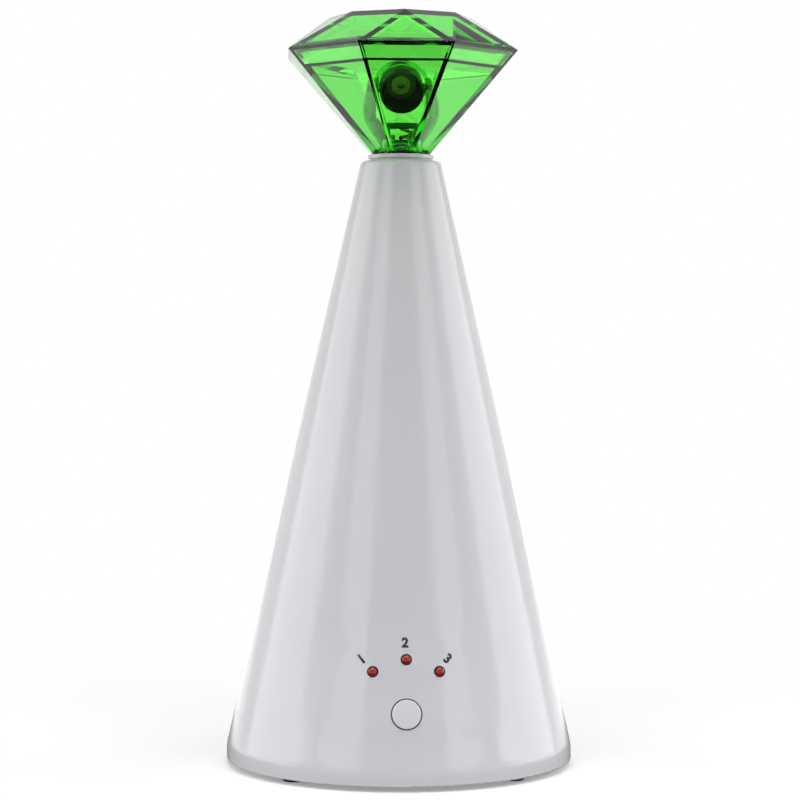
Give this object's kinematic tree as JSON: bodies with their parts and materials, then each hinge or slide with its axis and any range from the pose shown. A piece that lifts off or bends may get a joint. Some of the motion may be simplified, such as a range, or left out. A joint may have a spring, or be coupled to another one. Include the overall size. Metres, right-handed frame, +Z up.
{
  "type": "automatic cat laser toy",
  "caption": "White cone-shaped automatic laser toy with a clear green faceted head that turns and carries a tilting laser barrel, a mode button and three red indicator lamps.",
  "frame": {"origin": "floor plane under the cone's axis, where the feet stand", "axes": "+Z up along the cone's axis, -Y to the front, where the button and the indicator lamps are"},
  "size_m": [0.1016, 0.1016, 0.2191],
  "materials": {
    "casing_white": "high gloss moulded",
    "button_white": "gloss moulded",
    "base_plastic": "fine matte moulded",
    "foot_rubber": "matte",
    "screw_steel": "zinc plated",
    "board_laminate": "solder mask",
    "chip_black": "moulded",
    "capacitor_sleeve": "shrink sleeve",
    "lamp_red": "tinted clear",
    "inner_plastic": "moulded",
    "gearbox_brass": "machined",
    "motor_steel": "drawn can",
    "gear_acetal": "natural",
    "spindle_dark": "black oxide",
    "contact_brass": "rolled",
    "contact_nickel": "nickel plated",
    "gem_green": "clear, polished",
    "yoke_green": "clear, moulded",
    "barrel_black": "satin moulded",
    "laser_brass": "turned",
    "lens_glass": "polished",
    "lead_sleeve": "soft sleeve",
    "cell_sleeve": "plain printed sleeve"
  },
  "bodies": {
    "base": {"cone_shell": "casing_white", "bottom_plate": "base_plastic", "foot_front_left": "foot_rubber", "foot_front_right": "foot_rubber", "foot_rear_left": "foot_rubber", "foot_rear_right": "foot_rubber", "plate_screws": "screw_steel", "board_screws": "screw_steel", "drive_screws": "screw_steel", "gearbox_screws": "screw_steel", "control_board": "board_laminate", "control_chip": "chip_black", "filter_capacitor": "capacitor_sleeve", "switch_body": "chip_black", "led_left": "lamp_red", "led_middle": "lamp_red", "led_right": "lamp_red", "drive_plate": "inner_plastic", "brush_block": "inner_plastic", "gearbox_housing": "gearbox_brass", "motor_can": "motor_steel", "motor_end_cap": "chip_black", "lower_bush": "gear_acetal", "top_bush": "gear_acetal", "brush_lower": "contact_brass", "brush_upper": "contact_brass", "battery_leads": "lead_sleeve", "motor_leads": "lead_sleeve", "brush_leads": "lead_sleeve", "cell_1": "cell_sleeve", "cell_2": "cell_sleeve", "cell_3": "cell_sleeve", "contact_negative": "contact_nickel", "contact_positive": "contact_nickel", "contact_bridge_left": "contact_nickel", "contact_bridge_right": "contact_nickel"},
    "head": {"neck_hub": "casing_white", "spindle": "spindle_dark", "pavilion_shell": "gem_green", "crown_shell": "gem_green", "laser_yoke": "yoke_green", "yoke_screws": "screw_steel", "driven_gear": "gear_acetal", "ring_carrier": "inner_plastic", "slip_ring_lower": "contact_brass", "slip_ring_upper": "contact_brass", "retaining_clip": "screw_steel", "laser_leads": "lead_sleeve"},
    "barrel": {"barrel_housing": "barrel_black", "laser_tube": "laser_brass", "laser_lens": "lens_glass", "laser_diode": "laser_brass", "laser_board": "board_laminate"},
    "pinion": {"output_shaft": "screw_steel", "drive_pinion": "gearbox_brass"},
    "button": {"button_cap": "button_white", "switch_plunger": "chip_black"},
    "door": {"battery_door": "base_plastic"}
  },
  "joints": [
    {"name": "head_spin", "type": "hinge", "parent": "base", "child": "head", "pos_m": [0, 0, 0], "axis": [0, 0, 1], "continuous": true},
    {"name": "pinion_spin", "type": "hinge", "parent": "base", "child": "pinion", "pos_m": [0, 0.0105, 0], "axis": [0, 0, 1], "continuous": true},
    {"name": "barrel_tilt", "type": "hinge", "parent": "head", "child": "barrel", "pos_m": [0, 0, 0.1995], "axis": [1, 0, 0], "range_deg": [-15, 15], "deforming": ["laser_leads"]},
    {"name": "button_press", "type": "slide", "parent": "base", "child": "button", "axis": [0, 0.975, -0.2223], "range_m": [0, 0.0006], "stiffness_N_per_m": 2600},
    {"name": "door_swing", "type": "hinge", "parent": "base", "child": "door", "pos_m": [-0.02642, 0.003, 0.003], "axis": [0, 1, 0], "range_deg": [0, 95]}
  ],
  "couplings": [
    {"joint": "pinion_spin", "follows": "head_spin", "ratio": -2.5}
  ]
}
